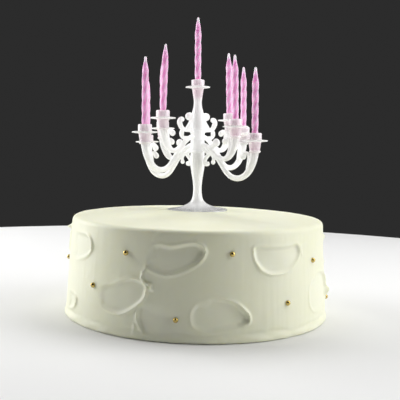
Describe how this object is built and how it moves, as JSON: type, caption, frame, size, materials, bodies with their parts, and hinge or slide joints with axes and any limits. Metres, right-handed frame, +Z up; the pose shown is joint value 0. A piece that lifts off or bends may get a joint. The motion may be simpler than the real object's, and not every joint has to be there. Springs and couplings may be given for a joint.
{
  "type": "birthday cake with candles",
  "caption": "Round iced birthday cake with spatula strokes in its side and a white plastic candelabra of twisted pink candles standing on top.",
  "frame": {"origin": "middle of the cake's underside", "axes": "+Z up; -Y towards the front of the cake"},
  "size_m": [0.214, 0.2141, 0.242],
  "materials": {
    "icing": "satin whipped cream icing",
    "white_plastic": "glossy, slightly translucent",
    "pink_wax": "satin wax"
  },
  "bodies": {
    "root": {"cake": "icing", "candelabra_stand": "white_plastic", "lower_arm_frame": "white_plastic", "upper_arm_frame": "white_plastic", "column_top": "white_plastic", "candle_lower_short_right": "pink_wax", "candle_lower_short_left": "pink_wax", "candle_lower_long_right": "pink_wax", "candle_lower_long_left": "pink_wax", "candle_upper_short_right": "pink_wax", "candle_upper_short_left": "pink_wax", "candle_upper_long_right": "pink_wax", "candle_upper_long_left": "pink_wax", "candle_middle": "pink_wax"}
  },
  "joints": []
}
